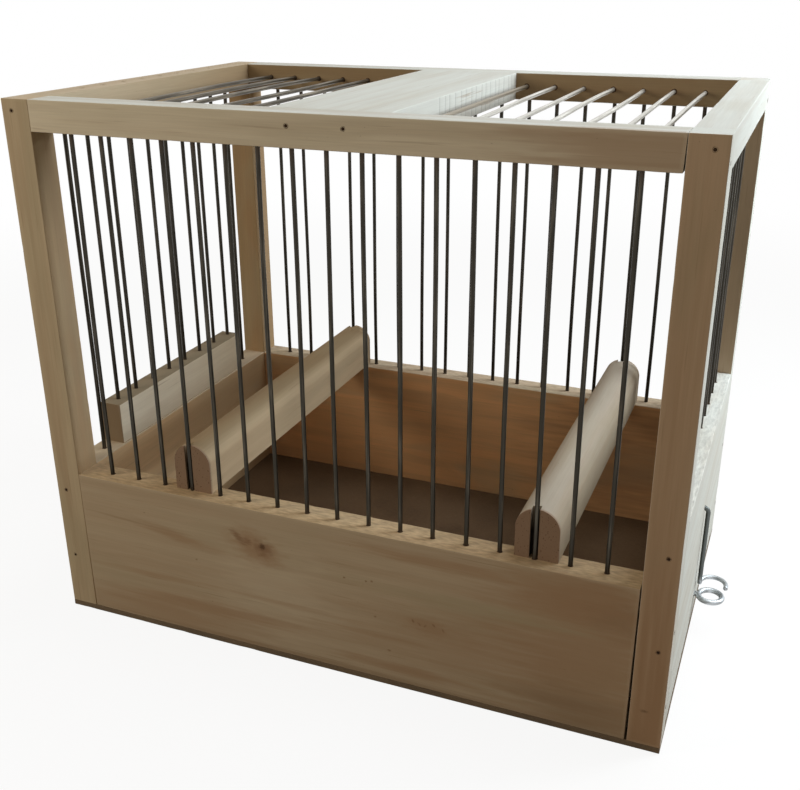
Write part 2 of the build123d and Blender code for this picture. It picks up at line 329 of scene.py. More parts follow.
class CageMetal(bpy.types.PropertyGroup):
    """Colours of the bars, the nails and the zinc hardware, and of the hardboard; the roof bars' steels and
    the hook stem's colour are painted sheen and shade.
    """

    bar: colour("Bar steel", "Dark drawn wire", (0.034, 0.030, 0.023))
    bar_bright: colour("Rubbed steel", "Wire where it is rubbed", (0.095, 0.082, 0.062))
    # Painted sheen of the light from above on the roof's left bars, and painted shade on the first bar of
    # the roof's right.
    bar_dull: colour("Roof sheen and shade", "Grey brown wire of the roof's left", (0.30, 0.26, 0.20))
    # Dim and bright sheen: painted sheen of the light from above on the roof's right bars.
    bar_grey: colour("Dim sheen", "Bright wire where it is dull", (0.52, 0.50, 0.45))
    bar_silver: colour("Bright sheen", "Bright wire of the roof's right", (0.80, 0.78, 0.72))
    bar_rust: colour("Bar roots", "Brown film where a bar meets the wood", (0.07, 0.042, 0.022))
    zinc: colour("Zinc", "Hook and pull eye", (0.62, 0.65, 0.67))
    # Painted shade on the hook's stem.
    tarnish: colour("Stem shade", "Dark stem of the hook", (0.11, 0.12, 0.115))
    nail: colour("Nail heads", "Dull nail heads", (0.03, 0.016, 0.009))
    hardboard: colour("Hardboard", "Tray floor", (0.12, 0.075, 0.042))
    base_sheet: colour("Base sheet", "Paler hardboard of the base plate", (0.185, 0.135, 0.088))


class CageStage(bpy.types.PropertyGroup):
    """Camera, light and floor."""

    camera_place: FloatVectorProperty(
        name="Camera", description="Place of the camera", unit="LENGTH", size=3,
        default=(0.17618, -0.45433, 0.30477),
    )
    camera_turn: measure("Turn", "Camera's turn to the left", "ROTATION", math.radians(21.979))
    camera_dip: measure("Dip", "Camera's tilt below the level", "ROTATION", math.radians(22.585))
    camera_roll: measure("Roll", "Camera's roll about its own axis", "ROTATION", math.radians(-0.205))
    floor: colour("Floor", "Floor, as it throws light back", (0.26, 0.21, 0.16))
    ambient: colour("Ambient", "Even light from all round", (0.25, 0.215, 0.17))
    key_power: measure("Key", "Light from above", "POWER", 4.2)
    key_tone: colour("Key tone", "Colour of the light from above", (0.86, 0.94, 1.0))
    side_power: measure("Side", "Light from the right", "POWER", 1.8)
    side_tone: colour("Side tone", "Colour of the light from the right", (0.86, 0.95, 1.0))
    fill_power: measure("Fill", "Light on the front from the left", "POWER", 1.27)
    fill_tone: colour("Fill tone", "Colour of the light from the left", (1.0, 0.93, 0.76))


class Finish:
    """A procedural material or world, put together step by step from sockets and plain values."""

    def __init__(self, name, kind="materials", shader="Principled BSDF"):
        self.made = getattr(bpy.data, kind).new(name)
        self.made.use_nodes = True
        self.tree = self.made.node_tree
        self.shader = self.tree.nodes[shader]

    def feed(self, socket, value):
        """Links a socket, or sets a plain value or colour."""
        if isinstance(value, bpy.types.NodeSocket):
            self.tree.links.new(value, socket)
        elif socket.type == "RGBA":
            socket.default_value = (*value[:3], 1.0)
        else:
            socket.default_value = value

    def step(self, kind, values, output=0, **options):
        """Adds a node with its inputs, and gives back one of its outputs."""
        node = self.tree.nodes.new(kind)
        for key, value in options.items():
            setattr(node, key, value)
        for key, value in values.items():
            self.feed(node.inputs[key], value)
        return node.outputs[output]

    def stored(self, name, output="Fac"):
        """A value kept on the mesh."""
        return self.step("ShaderNodeAttribute", {}, output, attribute_name=name)

    @cached_property
    def grain(self):
        """Place in the grain, in millimetres."""
        return self.stored("grain", "Vector")

    def axis(self, kind, output, axis):
        """One axis of a direction or place that a node gives."""
        return self.step("ShaderNodeSeparateXYZ", {0: self.step(kind, {}, output)}, axis)

    def vector(self, operation, first, second=(0.0, 0.0, 0.0), output="Vector"):
        """Arithmetic on two vectors."""
        return self.step("ShaderNodeVectorMath", {0: first, 1: second}, output, operation=operation)

    def reckon(self, operation, first, second=0.0):
        """Arithmetic on two values."""
        return self.step("ShaderNodeMath", {0: first, 1: second}, operation=operation)

    def times(self, first, second):
        """Product of two values."""
        return self.reckon("MULTIPLY", first, second)

    def mottle(self, sizes, detail=2.0, lean=0.0, place=None):
        """Noise from 0 to 1, with blotches of these sizes along the grain or along the axes of a place."""
        spread = self.vector("DIVIDE", self.grain if place is None else place, sizes)
        values = {"Vector": spread, "Scale": 1.0, "Detail": detail, "Distortion": lean}
        return self.step("ShaderNodeTexNoise", values)

    def rise(self, value, low, high):
        """0 at low and 1 at high, eased in between."""
        values = {"Value": value, "From Min": low, "From Max": high}
        return self.step("ShaderNodeMapRange", values, interpolation_type="SMOOTHSTEP")

    def spread(self, value, low, high):
        """A value from 0 to 1 laid out between two others."""
        return self.step("ShaderNodeMapRange", {"Value": value, "To Min": low, "To Max": high})

    def tint(self, share, under, over, blend="MIX"):
        """One colour laid over another."""
        values = {0: share, 6: under, 7: over}
        return self.step("ShaderNodeMix", values, 2, data_type="RGBA", blend_type=blend)

    def stain(self, tone, over, share, pattern, low, high):
        """A colour laid over another where a pattern rises from low to high."""
        return self.tint(self.times(self.rise(pattern, low, high), share), tone, over)

    def vary(self, tone, pattern, low, high, share=1.0):
        """A colour made darker and lighter by a pattern."""
        return self.tint(share, tone, self.spread(pattern, low, high), "MULTIPLY")

    def relief(self, height, depth):
        """Bump of the given depth."""
        return self.step("ShaderNodeBump", {"Height": height, "Distance": depth})

    def dress(self, **sockets):
        """Sets or links the shader's sockets, and gives back what was made."""
        for name, value in sockets.items():
            self.feed(self.shader.inputs[name.replace("_", " ")], value)
        return self.made

    def seen_rays(self):
        """1 for the rays that show the background: those of the camera, gloss and clear pieces."""
        rays = self.tree.nodes.new("ShaderNodeLightPath").outputs
        straight_on = self.reckon("MAXIMUM", rays["Is Camera Ray"], rays["Is Glossy Ray"])
        return self.reckon("MAXIMUM", straight_on, rays["Is Transmission Ray"])


@cache
def wood_finish(
    name, base, figure=1.0, front=None, inside=None, far=None, top=None, ends=None, torn=0.0, marks=(),
    marked="front_board",
):
    """Planed softwood: soft bands, faint growth rings, fibres, streaks and worn edges.

    Figure is the strength of the bands. Front, inside, top and ends are the colours of the front
    face, of the faces that look into the cage, of those that look up and of the sawn ends, where
    they differ from the rest; the inside and top colours paint the light and shade on those faces.
    Far is what the inside turns to towards the back of the cage, as painted shade.
    Torn is the strength of the rough sawn fibres on faces that look up. Marked is a node whose
    front face lies where the marks are.
    """
    timber = bpy.context.scene.cage_timber
    wood = Finish(name)
    bands = wood.mottle((140.0, 7.0, 7.0), 3.0, 0.3)
    patches = wood.mottle((75.0, 21.0, 21.0), 2.0, 0.4)
    fibres = wood.mottle((24.0, 0.6, 0.6), 3.0)
    streaks = wood.mottle((34.0, 0.9, 0.9), 1.0)
    specks = wood.mottle((1.7, 1.1, 1.1), 1.0)
    pores = wood.mottle((9.0, 0.8, 0.8))

    section = wood.vector("MULTIPLY", wood.grain, (0.0, 1.0, 1.0))
    reach = wood.vector("LENGTH", section, output="Value")
    growth = wood.reckon("ADD", reach, wood.times(patches, RING_WANDER))
    season = wood.reckon("FRACT", wood.reckon("DIVIDE", growth, RING_PITCH))
    summer = wood.times(wood.rise(season, 0.1, 0.85), wood.rise(season, 1.0, 0.9))

    cut = getattr(timber, ends or base)
    base = getattr(timber, base)
    # Inside and top colours paint the light and shade on those faces, and far a deeper shade towards the
    # back.
    for face, own in (("front", front), ("inner", inside)):
        if own:
            base = wood.tint(wood.stored(face), base, getattr(timber, own))
    if far:
        depth = wood.axis("ShaderNodeTexCoord", "Object", "Y")
        shade_towards_back = wood.rise(depth, cad_box[0].y, cad_box[1].y)
        base = wood.tint(wood.times(shade_towards_back, wood.stored("inner")), base, getattr(timber, far))
    upward = wood.rise(wood.axis("ShaderNodeNewGeometry", "Normal", "Z"), 0.5, 0.95)
    if top:
        base = wood.tint(upward, base, getattr(timber, top))

    tone = wood.stain(base, timber.blush, 0.35 * figure, bands, 0.40, 0.68)
    tone = wood.stain(tone, timber.shade, 0.4 * figure, patches, 0.46, 0.70)
    tone = wood.tint(wood.times(summer, 0.16 * figure), tone, timber.ring)
    tone = wood.vary(tone, fibres, 0.90, 1.10)
    tone = wood.stain(tone, timber.ring, 0.45, streaks, 0.68, 0.80)
    tone = wood.stain(tone, timber.fleck, 0.4, specks, 0.78, 0.84)
    if torn:
        tone = wood.vary(tone, wood.mottle((4.0, 1.3, 1.3), 3.0), 1.0 - torn, 1.0 + torn, upward)
    # Marks lay stains, bands, knots and flecks, and broad patches of painted shade.
    for *spot, share, mark in marks:
        tone = wood.tint(front_mark(wood, marked, spot, share), tone, getattr(timber, mark))
    cut = wood.stain(cut, timber.fleck, 0.8 if ends else 0.25, pores, 0.62, 0.72)
    tone = wood.tint(wood.stored("sawn"), tone, cut)
    tone = wood.tint(wood.times(wood.stored("worn"), 0.35), tone, base)
    # Root holds the painted shade in kerfs and saw lines.
    tone = wood.tint(wood.stored("root"), tone, timber.kerf)
    return wood.dress(
        Base_Color=tone, Roughness=wood.spread(fibres, 0.68, 0.88),
        Normal=wood.relief(fibres, 0.05 * MM), Specular_IOR_Level=0.12,
    )


def front_mark(wood, node, spot, share):
    """Share of a mark at its spot on a node's front face: a stain, knot, fleck or patch of painted shade.
    """
    along, up, half_length, half_height, turn = spot
    at_rest = wood.step("ShaderNodeTexCoord", {}, "Object")
    values = {
        "Vector": at_rest,
        "Location": (along * MM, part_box(node)[0].y, up * MM),
        "Rotation": (0.0, math.radians(turn), 0.0),
        "Scale": (half_length * MM, MARK_DEPTH * MM, half_height * MM),
    }
    within = wood.step("ShaderNodeMapping", values, vector_type="TEXTURE")
    away = wood.vector("LENGTH", within, output="Value")
    halves = (half_length, half_height)
    longest = max(halves)
    rough = [
        LONG_STREAK * half if half == longest else min(SHORT_STREAK * half, STREAK) for half in halves
    ]
    blotch = [max(FINEST_STREAK, rough[i]) * MM for i in (0, 0, 1)]
    frayed = wood.reckon("ADD", away, wood.mottle(blotch, place=at_rest))
    return wood.times(wood.rise(frayed, *MARK_FADE), share)


def shaded(tone, share):
    """A colour made darker or lighter."""
    return [min(1.0, share * part) for part in tone]


@cache
def hardboard_finish(name, tone):
    """Pressed fibre sheet: brown, mottled, with pale and dark fibres."""
    board = Finish(name)
    brown = getattr(bpy.context.scene.cage_metal, tone)
    clouds = board.mottle((30.0, 30.0, 30.0), 3.0)
    fibres = board.mottle((1.6, 0.5, 0.5), 3.0, 1.5)
    flecks = board.mottle((0.8, 0.8, 0.8), 2.0, 2.0)
    tone = board.tint(board.rise(clouds, 0.3, 0.7), shaded(brown, 0.84), shaded(brown, 1.14))
    tone = board.vary(tone, fibres, 0.6, 1.4)
    tone = board.stain(tone, shaded(brown, 2.2), 0.5, flecks, 0.62, 0.74)
    return board.dress(
        Base_Color=tone, Roughness=board.spread(clouds, 0.5, 0.8),
        Normal=board.relief(fibres, 0.10 * MM), Specular_IOR_Level=0.15,
    )


@cache
def bar_finish(name, under, rubbed):
    """Drawn wire: one steel rubbed to another in streaks, brown where it meets the wood. On the roof the
    two steels are painted sheen of the light from above, and a wire whose worn value is set is painted
    darker, as shade.
    """
    metal = bpy.context.scene.cage_metal
    bar = Finish(name)
    streaks = bar.mottle((26.0, 0.5, 0.5), 3.0)
    clouds = bar.mottle((18.0, 3.0, 3.0))
    pits = bar.mottle((0.7, 0.5, 0.5))
    shine = bar.rise(bar.reckon("ADD", streaks, bar.times(clouds, 0.6)), 0.75, 1.10)
    tone = bar.tint(shine, getattr(metal, under), getattr(metal, rubbed))
    tone = bar.tint(bar.stored("worn"), tone, metal.bar_dull)
    tone = bar.stain(tone, metal.bar_rust, 0.4, pits, 0.60, 0.72)
    film = bar.times(bar.stored("root"), bar.rise(clouds, 0.25, 0.6))
    tone = bar.tint(film, tone, metal.bar_rust)
    rough = bar.reckon("ADD", bar.spread(streaks, 0.30, 0.52), bar.times(film, 0.2))
    hard = bar.reckon("SUBTRACT", 0.92, bar.times(film, 0.6))
    relief = bar.relief(pits, 0.03 * MM)
    return bar.dress(Base_Color=tone, Roughness=rough, Metallic=hard, Normal=relief)


@cache
def zinc_finish():
    """Galvanised wire: grey spangle, dull patches and fine scratches, and dark where shade is painted on
    the hook's stem.
    """
    metal = bpy.context.scene.cage_metal
    zinc = Finish("dull_zinc")
    dull = zinc.mottle((5.0, 2.0, 2.0), 3.0)
    spangle = zinc.mottle((1.1, 0.9, 0.9), 1.0, 1.0)
    scratches = zinc.mottle((7.0, 0.16, 0.16), 1.0)
    tone = zinc.tint(zinc.rise(dull, 0.35, 0.7), metal.zinc, shaded(metal.zinc, 0.55))
    tone = zinc.vary(tone, spangle, 0.78, 1.15)
    # Root marks the hook's stem, which is painted dark, as shade.
    tone = zinc.tint(zinc.stored("root"), tone, metal.tarnish)
    rough = zinc.reckon("ADD", zinc.spread(dull, 0.22, 0.50), zinc.times(scratches, 0.08))
    relief = zinc.relief(scratches, 0.02 * MM)
    return zinc.dress(Base_Color=tone, Roughness=rough, Metallic=1.0, Normal=relief)


@cache
def nail_finish():
    """Dull nail heads with a brown bloom."""
    metal = bpy.context.scene.cage_metal
    nail = Finish("dull_nail")
    bloom = nail.mottle((0.9, 0.9, 0.9), 3.0)
    return nail.dress(
        Base_Color=nail.tint(nail.rise(bloom, 0.42, 0.68), metal.nail, metal.bar_rust),
        Roughness=nail.spread(bloom, 0.6, 0.9), Metallic=0.3, Normal=nail.relief(bloom, 0.05 * MM),
        Specular_IOR_Level=0.1,
    )


@cache
def rim_finish():
    """Dark wood round a driven bar or nail: bruised wood, and round a bar also painted shade of its hole.
    """
    bruise = bpy.context.scene.cage_timber.fleck
    wood = Finish("bruised_rim")
    fray = wood.mottle((0.6, 0.6, 0.6))
    return wood.dress(
        Base_Color=wood.tint(fray, shaded(bruise, 0.35), shaded(bruise, 1.5)), Roughness=0.9,
        Normal=wood.relief(fray, 0.05 * MM), Specular_IOR_Level=0.2,
    )


def add_layers(bm):
    """Makes room on each point for the values that the finishes read."""
    bm.verts.layers.float_vector.new("grain")
    for name in ("worn", "sawn", "root", "front", "inner"):
        bm.verts.layers.float.new(name)


def blank_mesh():
    """An empty mesh with room for those values."""
    bm = bmesh.new()
    add_layers(bm)
    return bm


def keep(bm, vert, grain, **values):
    """Keeps a point's place in the grain, and other values for the finishes."""
    vert[bm.verts.layers.float_vector["grain"]] = grain
    for name, value in values.items():
        vert[bm.verts.layers.float[name]] = value


def skin(bm, rings, closed=False):
    """Faces between rings in a row, with a cap on each end, or right round a closed row."""
    following = rings[1:] + rings[:1] if closed else rings[1:]
    for first, second in zip(rings, following):
        for i, vert in enumerate(first):
            j = (i + 1) % len(first)
            bm.faces.new((vert, first[j], second[j], second[i]))
    if not closed:
        bm.faces.new(rings[0])
        bm.faces.new(reversed(rings[-1]))


def settle(bm, name, node, finish, stands_for_node=True):
    """Turns a built mesh into a piece that rides with a CAD node and, as a rule, replaces it."""
    bmesh.ops.recalc_face_normals(bm, faces=bm.faces[:])
    mesh = bpy.data.meshes.new(name)
    bm.to_mesh(mesh)
    bm.free()
    mesh.materials.append(finish)
    mesh.shade_smooth()
    piece = bpy.data.objects.new(name, mesh)
    bpy.context.scene.collection.objects.link(piece)
    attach(piece, frame["nodes"][node]["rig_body"])
    if stands_for_node:
        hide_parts(node)
    return piece


def scatter(chance, reach):
    """A place drawn by chance."""
    return Vector([chance.uniform(0.0, reach) for _ in range(3)])


def fibre_axes(low, high):
    """The axis of a timber's fibres, which is its longest side, and its two other axes."""
    size = high - low
    along = max(range(3), key=lambda axis: size[axis])
    across, through = [axis for axis in range(3) if axis != along]
    return along, across, through


def on_axes(axes, values):
    """A vector with the given values on the given axes."""
    found = Vector()
    for axis, value in zip(axes, values):
        found[axis] = value
    return found


def heart_of_log(chance):
    """Where the heart of the log lay from a timber's middle, and a start along it, in millimetres."""
    turn = chance.uniform(0.0, 2 * math.pi)
    away = chance.uniform(HEART_NEAR, HEART_FAR)
    return Vector((chance.uniform(0.0, LOG_LENGTH), away * math.cos(turn), away * math.sin(turn)))


def weathered(point, seed, edge, nick):
    """How far a surface stands out at a point: slow planing waves, less the nicks along edges."""
    wave = noise.noise(point / WAVE_PITCH + seed)
    cut = max(0.0, noise.noise(point / NICK_PITCH + seed) - NICK_LEVEL)
    return wave * WAVE_DEPTH - cut * nick * edge


def stations(span, step):
    """Evenly spaced places between two ends, without the ends."""
    count = max(1, round(span / step))
    return [span * i / count for i in range(1, count)]


def banded(span, step):
    """Places across a face: the inner rims of its two worn strips, and evenly spaced in between."""
    band = min(EDGE_BAND, BAND_SHARE * span)
    return [band, *[band + s for s in stations(span - 2 * band, step)], span - band]


def section_points(width, height, inset, eased):
    """Points round a timber's section with their outward directions and their nearness to an edge."""
    half = (width / 2 - inset, height / 2 - inset)
    found = []
    for side in range(4):
        turn = side * QUARTER
        run = height if side % 2 == 0 else width
        reach = half[side % 2]
        flank = half[1 - side % 2]
        outward = Vector((math.cos(turn), math.sin(turn)))
        onward = Vector((-math.sin(turn), math.cos(turn)))
        for place in banded(run, FACE_STEP):
            shifted = (place / run - 0.5) * 2 * (flank - eased)
            found.append((outward * reach + onward * shifted, outward, 0.0))
        hub = outward * (reach - eased) + onward * (flank - eased)
        for k in range(EASE_STEPS + 1):
            swing = turn + QUARTER * k / EASE_STEPS
            away = Vector((math.cos(swing), math.sin(swing)))
            found.append((hub + away * eased, away, 1.0))
    return found


def drawn_in(point, low, high, along, gaps):
    """How far a point moves along its timber, to leave the gaps at the timber's ends."""
    drop = (high.z - point.z) / (high.z - low.z)
    start, stop = (top + (bottom - top) * drop for top, bottom in gaps)
    share = (point[along] - low[along]) / (high[along] - low[along])
    return start * (1 - share) - stop * share


def looks_in(away, middle):
    """1 on a side of a timber, with its outward direction, that looks into the cage."""
    return float(away.x * middle.x + away.y * middle.y < 0.0 and abs(away.z) < FACING)


def planed_timber(bm, low, high, gaps, chance, grooves):
    """A squared timber with eased edges, planing waves and nicks. Grooves cross its face on the +X side."""
    add_layers(bm)
    timber = bpy.context.scene.cage_timber
    size, middle = high - low, (low + high) / 2
    eased = min(timber.eased_edge, EASE_SHARE * min(size))
    axes = fibre_axes(low, high)
    along, across, through = axes
    heart = heart_of_log(chance)
    seed = scatter(chance, NOISE_REACH)

    ends = [QUARTER * k / EASE_STEPS for k in range(EASE_STEPS + 1)]
    rings = [(END_EASE * (1 - math.cos(a)), END_EASE * (1 - math.sin(a)), 0.0) for a in ends]
    plain = [s for s in banded(size[along], RING_STEP) if all(abs(s - g) > SAW_WIDTH for g in grooves)]
    middle_run = [(s, 0.0, 0.0) for s in plain]
    for groove in grooves:
        middle_run += [(groove + k * SAW_WIDTH / 2, 0.0, SAW_DEPTH * (k == 0)) for k in (-1, 0, 1)]
    rings += sorted(middle_run)
    rings += [(size[along] - s, inset, 0.0) for s, inset, _ in reversed(rings[: EASE_STEPS + 1])]

    loops = []
    for order, (station, inset, cut) in enumerate(rings):
        from_end = min(order, len(rings) - 1 - order)
        loop = []
        for flat, outward, edge in section_points(size[across], size[through], inset, eased):
            along_run = low[along] + station
            point = on_axes(axes, (along_run, middle[across] + flat.x, middle[through] + flat.y))
            away = on_axes((across, through), outward)
            wear = max(edge, float(from_end <= EASE_STEPS))
            depth = cut if away.x > SQUARE_ON else 0.0
            vert = bm.verts.new(point + away * (weathered(point, seed, wear, timber.nick) - depth))
            vert.co[along] += drawn_in(point, low, high, along, gaps)
            # Saw lines take painted shade in their grooves.
            keep(
                bm, vert, heart + Vector((along_run, *flat)) / MM, worn=wear, sawn=float(from_end == 0),
                root=SAW_SHADE if depth else 0.0, front=float(away.y < -FACING),
                inner=looks_in(away, middle),
            )
            loop.append(vert)
        loops.append(loop)
    skin(bm, loops)


def eased_copy(bm, node, gaps, chance):
    """A timber with holes or kerfs: the CAD shape with its long edges eased and its faces weathered."""
    timber = bpy.context.scene.cage_timber
    bm.from_mesh(frame["nodes"][node].data)
    bmesh.ops.remove_doubles(bm, verts=bm.verts[:], dist=MERGE)
    bmesh.ops.dissolve_limit(bm, angle_limit=math.radians(1), verts=bm.verts[:], edges=bm.edges[:])
    for edge in bm.edges:
        edge.seam = edge.calc_face_angle(0.0) > SHARP and edge.calc_length() > SHORTEST_EASED
    low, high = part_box(node)
    size, middle = high - low, (low + high) / 2
    along, across, through = fibre_axes(low, high)
    for axis, normal in enumerate((X, Y, Z)):
        for place in banded(size[axis], RING_STEP if axis == along else FACE_STEP):
            geometry = bm.verts[:] + bm.edges[:] + bm.faces[:]
            cut = low + normal * place
            bmesh.ops.bisect_plane(bm, geom=geometry, plane_co=cut, plane_no=normal, dist=MERGE / 10)
    sharp = [edge for edge in bm.edges if edge.seam]
    eased = bmesh.ops.bevel(
        bm, geom=sharp, offset=timber.eased_edge, segments=EASE_STEPS, profile=0.5, affect="EDGES",
        clamp_overlap=True,
    )
    worn = set(eased["verts"])
    bm.normal_update()
    add_layers(bm)
    heart = heart_of_log(chance)
    seed = scatter(chance, NOISE_REACH)
    shifts = []
    for vert in bm.verts:
        from_end = min(vert.co[along] - low[along], high[along] - vert.co[along])
        away = vert.co - middle
        wear = float(vert in worn)
        keep(
            bm, vert, heart + Vector((vert.co[along], away[across], away[through])) / MM, worn=wear,
            sawn=float(from_end < SAWN_SHARE * timber.eased_edge), inner=looks_in(vert.normal, middle),
        )
        shift = vert.normal * weathered(vert.co, seed, wear, timber.nick)
        shift[along] += drawn_in(vert.co, low, high, along, gaps)
        shifts.append(shift)
    for vert, shift in zip(bm.verts, shifts):
        vert.co += shift


def timber_piece(node, finish, gaps=(TIGHT, TIGHT), grooves=()):
    """Dresses one timber of the frame."""
    chance = random.Random(node)
    bm = bmesh.new()
    corners = {tuple(round(c, 6) for c in v.co) for v in frame["nodes"][node].data.vertices}
    if len(corners) == 8:
        planed_timber(bm, *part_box(node), gaps, chance, grooves)
    else:
        eased_copy(bm, node, gaps, chance)
    piece = settle(bm, f"{node}_piece", node, finish)
    piece.modifiers.new("even_faces", "WEIGHTED_NORMAL").keep_sharp = True
    return piece


def shade_kerfs(piece, node):
    """Paints shade on the walls of a perch's kerfs, which lie between its ends and the CAD shape's inner
    corners.
    """
    low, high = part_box(node)
    corners = [v.co for v in frame["nodes"][node].data.vertices if low.y + TINY < v.co.y < high.y - TINY]
    left, right = min(c.x for c in corners) - TINY, max(c.x for c in corners) + TINY
    near, far = min(c.y for c in corners) + TINY, max(c.y for c in corners) - TINY
    shade_reach = low.z + KERF_SHADE * (high.z - low.z)
    for vert, mark in zip(piece.data.vertices, piece.data.attributes["root"].data):
        beside_bar = left < vert.co.x < right and vert.co.z < shade_reach
        behind_face = low.y + TINY < vert.co.y < high.y - TINY
        mark.value = float(beside_bar and behind_face and not near < vert.co.y < far)


def solid_boxes(node):
    """The corners of each separate solid in a CAD node, in the order of their places."""
    bm = bmesh.new()
    bm.from_mesh(frame["nodes"][node].data)
    bmesh.ops.remove_doubles(bm, verts=bm.verts[:], dist=MERGE)
    loose = set(bm.verts)
    boxes = []
    while loose:
        fresh = {loose.pop()}
        solid = set(fresh)
        while fresh:
            fresh = {edge.other_vert(vert) for vert in fresh for edge in vert.link_edges} - solid
            solid |= fresh
        loose -= solid
        boxes.append([Vector([pick(v.co[i] for v in solid) for i in range(3)]) for pick in (min, max)])
    bm.free()
    return sorted(boxes, key=lambda box: tuple(round(c, 5) for c in box[0]))


def square_to(direction):
    """Two directions square to a third."""
    helper = Z if abs(direction.z) < SQUARE_ON else X
    first = direction.cross(helper).normalized()
    return first, direction.cross(first).normalized()


def round_about(first, second, sides):
    """Directions round a circle, from the first towards the second."""
    angles = [2 * math.pi * k / sides for k in range(sides)]
    return [first * math.cos(a) + second * math.sin(a) for a in angles]


def tube(bm, path, radius, sides, offset, roots=None, dull=0.0):
    """A round wire along a path, with softened cut ends. Roots gives its rust at each point, and on the
    hook's stem its painted shade; dull marks a wire that is painted darker, as shade.
    """
    distance = 0.0
    side = square_to((path[1] - path[0]).normalized())[0]
    rings = []
    last = len(path) - 1
    soften = CUT_EASE * radius
    for i, point in enumerate(path):
        ahead = (path[min(i + 1, last)] - path[max(i - 1, 0)]).normalized()
        side = (side - ahead * side.dot(ahead)).normalized()
        other = ahead.cross(side)
        if i:
            distance += (point - path[i - 1]).length
        stages = [(point, radius)]
        if i == 0:
            stages = [(point, radius - soften), (point + ahead * soften, radius)]
        elif i == last:
            stages = [(point - ahead * soften, radius), (point, radius - soften)]
        for centre, size in stages:
            ring = []
            for away in round_about(side, other, sides):
                vert = bm.verts.new(centre + away * size)
                flat = Vector((distance, radius * away.dot(side), radius * away.dot(other))) / MM
                keep(bm, vert, offset + flat, root=roots[i] if roots else 0.0, worn=dull)
                ring.append(vert)
            rings.append(ring)
    skin(bm, rings)


def bar_group(node, finish, bow, seats, dull_bars=()):
    """The bars of a CAD node as round wires, each with a slight bow. Seats are their ends in wood, and the
    shaded bars, given by order, are painted darker, as shade.
    """
    chance = random.Random(node)
    bm = blank_mesh()
    for order, (low, high) in enumerate(solid_boxes(node)):
        axes = fibre_axes(low, high)
        reach, *section = [(high - low)[axis] for axis in axes]
        lean = [chance.gauss(0.0, bow / 2) for _ in range(4)]
        offset = scatter(chance, BAR_GRAIN)
        steps = max(LEAST_BAR_STEPS, round(reach / BAR_STEP))
        path = []
        roots = []
        for i in range(steps + 1):
            share = i / steps
            arch = math.sin(math.pi * share)
            snake = math.sin(2 * math.pi * share) / 2
            bent = (arch * lean[0] + snake * lean[1], arch * lean[2] + snake * lean[3])
            path.append((low + high) / 2 + on_axes(axes, (reach * (share - 0.5), *bent)))
            bare = min(reach * share - seats[0], reach * (1 - share) - seats[1])
            roots.append(max(0.0, 1.0 - max(0.0, bare) / BAR_FILM))
        tube(bm, path, max(section) / 2, BAR_SIDES, offset, roots, float(order in dull_bars))
    settle(bm, f"{node}_bars", node, finish)


def on_face(point, outward, face):
    """A point moved on to a face, which lies so far from the origin in its outward direction."""
    return point + outward * (face - point.dot(outward))


def rim(bm, centre, outward, inner, outer, chance):
    """A thin, ragged ring of dark wood on a face, round a bar or nail: bruised wood, and round a bar also
    painted shade of the hole.
    """
    offset = scatter(chance, RIM_GRAIN)
    rings = []
    for lift, size in ((-1.0, outer), (RIM_SLOPE, outer), (1.0, inner), (-1.0, inner)):
        ring = []
        for away in round_about(*square_to(outward), RIM_SIDES):
            fray = RIM_FRAY * noise.noise(offset + away * RIM_RIPPLE) if size == outer else 0.0
            vert = bm.verts.new(centre + away * size * (1.0 + fray) + outward * lift * RIM_HEIGHT)
            keep(bm, vert, offset + away * size / MM)
            ring.append(vert)
        rings.append(ring)
    skin(bm, rings, closed=True)


def bar_rims(name, nodes, faces, outer):
    """Dark rims where the bars of some CAD nodes go into the wood: painted shade of the holes, and bruised
    wood. Faces are as in on_face.
    """
    chance = random.Random(name)
    bm = blank_mesh()
    for node in nodes:
        for low, high in solid_boxes(node):
            for outward, face in faces:
                centre = on_face((low + high) / 2, outward, face)
                wide = outer * chance.uniform(1.0 - RIM_SPREAD, 1.0 + RIM_SPREAD)
                rim(bm, centre, outward, RIM_BORE * min(high - low), wide, chance)
    settle(bm, name, nodes[0], rim_finish(), stands_for_node=False)


def nail_places(node, outward):
    """Top, length and head radius of each nail in a CAD node."""
    for low, high in solid_boxes(node):
        span = abs((high - low).dot(outward))
        yield (low + high) / 2 + outward * span / 2, span, min(high - low) / 2


def nail_group(node, outward):
    """The nails of a CAD node, with domed heads and pointed shanks."""
    chance = random.Random(node)
    bm = blank_mesh()
    for top, span, head in nail_places(node, outward):
        shank = NAIL_SHANK * head
        profile = [
            (0.0, 0.25 * head), (-0.25 * NAIL_DOME, 0.7 * head), (-NAIL_DOME, 0.97 * head),
            (-2 * NAIL_DOME, head), (-3.5 * NAIL_DOME, shank), (-(1 - NAIL_POINT) * span, shank),
            (-span, 0.1 * shank),
        ]
        offset = scatter(chance, RIM_GRAIN)
        rings = []
        for depth, size in profile:
            ring = []
            for away in round_about(*square_to(outward), NAIL_SIDES):
                from_top = outward * depth + away * size
                vert = bm.verts.new(top + from_top)
                keep(bm, vert, offset + from_top / MM)
                ring.append(vert)
            rings.append(ring)
        skin(bm, rings)
    settle(bm, f"{node}_heads", node, nail_finish())


def nail_rims(node, outward, face):
    """Bruised wood round the nail heads of a CAD node, on a face as in on_face."""
    name = f"{node}_rims"
    chance = random.Random(name)
    bm = blank_mesh()
    for top, _, head in nail_places(node, outward):
        rim(bm, on_face(top, outward, face), outward, NAIL_BORE * head, NAIL_RIM * head, chance)
    settle(bm, name, node, rim_finish(), stands_for_node=False)


def arc(hub, start, onward, turn, steps):
    """Points on a round bend about a hub, from the direction start towards onward."""
    angles = [turn * i / steps for i in range(steps + 1)]
    return [hub + start * math.cos(a) + onward * math.sin(a) for a in angles]


